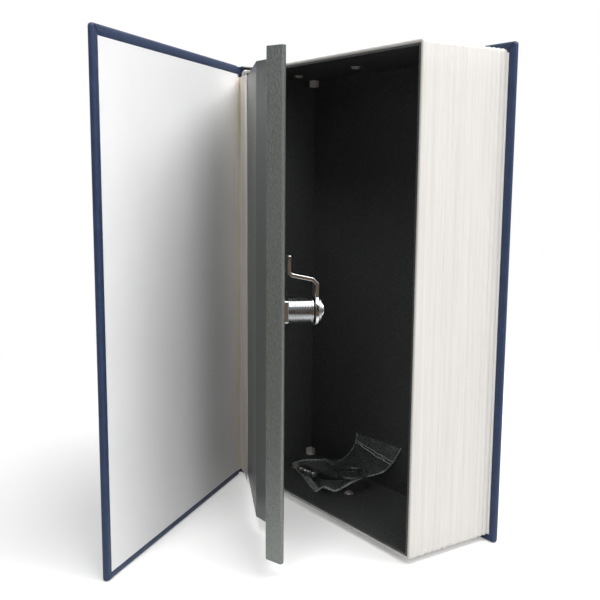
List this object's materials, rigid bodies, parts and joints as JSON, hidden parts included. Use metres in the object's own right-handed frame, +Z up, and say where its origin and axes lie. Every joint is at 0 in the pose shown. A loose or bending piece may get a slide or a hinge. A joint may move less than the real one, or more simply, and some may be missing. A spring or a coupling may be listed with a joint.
{
  "type": "book diversion safe",
  "caption": "Steel cash box with a key-locked door, hidden in a plastic page block bound as a navy cloth hardback, standing with its cover and door open.",
  "frame": {"origin": "middle of the back cover's standing edge", "axes": "+Z up along the book's height, +X from the spine to the fore-edge, -Y from the back cover to the front cover"},
  "size_m": [0.1581, 0.1783, 0.24],
  "materials": {
    "book_cloth": "fine woven book cloth",
    "greyboard": "matte",
    "endpaper": "smooth matte",
    "page_plastic": "satin, ribbed like leaves",
    "box_paint": "fine crackle texture",
    "door_paint": "hammertone, semi-gloss",
    "lock_chrome": "polished",
    "zinc_steel": "zinc plated",
    "pin_plastic": "semi-gloss",
    "key_plastic": "fine grain",
    "key_metal": "nickel plated",
    "bag_film": "clear wrinkled film"
  },
  "bodies": {
    "case": {"back_cloth": "book_cloth", "back_board": "greyboard", "back_endpaper": "endpaper", "spine_cloth": "book_cloth", "spine_board": "greyboard", "front_joint_cloth": "book_cloth", "gutter_paper": "endpaper", "page_block": "page_plastic", "safe_box": "box_paint", "box_pin_head_spine": "pin_plastic", "box_pin_head_fore": "pin_plastic", "box_pin_tail_spine": "pin_plastic", "box_pin_tail_fore": "pin_plastic", "strike_bracket": "zinc_steel", "hinge_box_leaf": "zinc_steel", "hinge_pin": "zinc_steel", "key_1_head": "key_plastic", "key_1_blade": "key_metal", "key_2_head": "key_plastic", "key_2_blade": "key_metal", "key_ring": "key_metal", "key_bag": "bag_film"},
    "door": {"hinge_door_leaf": "zinc_steel", "door_panel": "door_paint", "door_paper": "endpaper", "lock_body": "lock_chrome", "lock_nut": "lock_chrome"},
    "lock_core": {"lock_plug": "lock_chrome", "lock_cam": "lock_chrome", "cam_washer": "zinc_steel", "cam_screw": "lock_chrome"},
    "front_cover": {"front_cloth": "book_cloth", "front_board": "greyboard", "front_endpaper": "endpaper"}
  },
  "joints": [
    {"name": "door_swing", "type": "hinge", "parent": "case", "child": "door", "pos_m": [-0.0734, -0.0515, 0.12], "axis": [0, 0, -1], "range_deg": [-27.5, 43.7], "deforming": ["gutter_paper"]},
    {"name": "cover_swing", "type": "hinge", "parent": "case", "child": "front_cover", "pos_m": [-0.0771, -0.04986, 0.12], "axis": [0, 0, -1], "range_deg": [-54, 86], "deforming": ["front_joint_cloth"]},
    {"name": "lock_turn", "type": "hinge", "parent": "door", "child": "lock_core", "pos_m": [0.02666, -0.10359, 0.1191], "axis": [0.4617, 0.887, 0], "range_deg": [0, 90]}
  ],
  "couplings": [
    {"joint": "cover_swing", "follows": "door_swing", "ratio": 1.96}
  ]
}
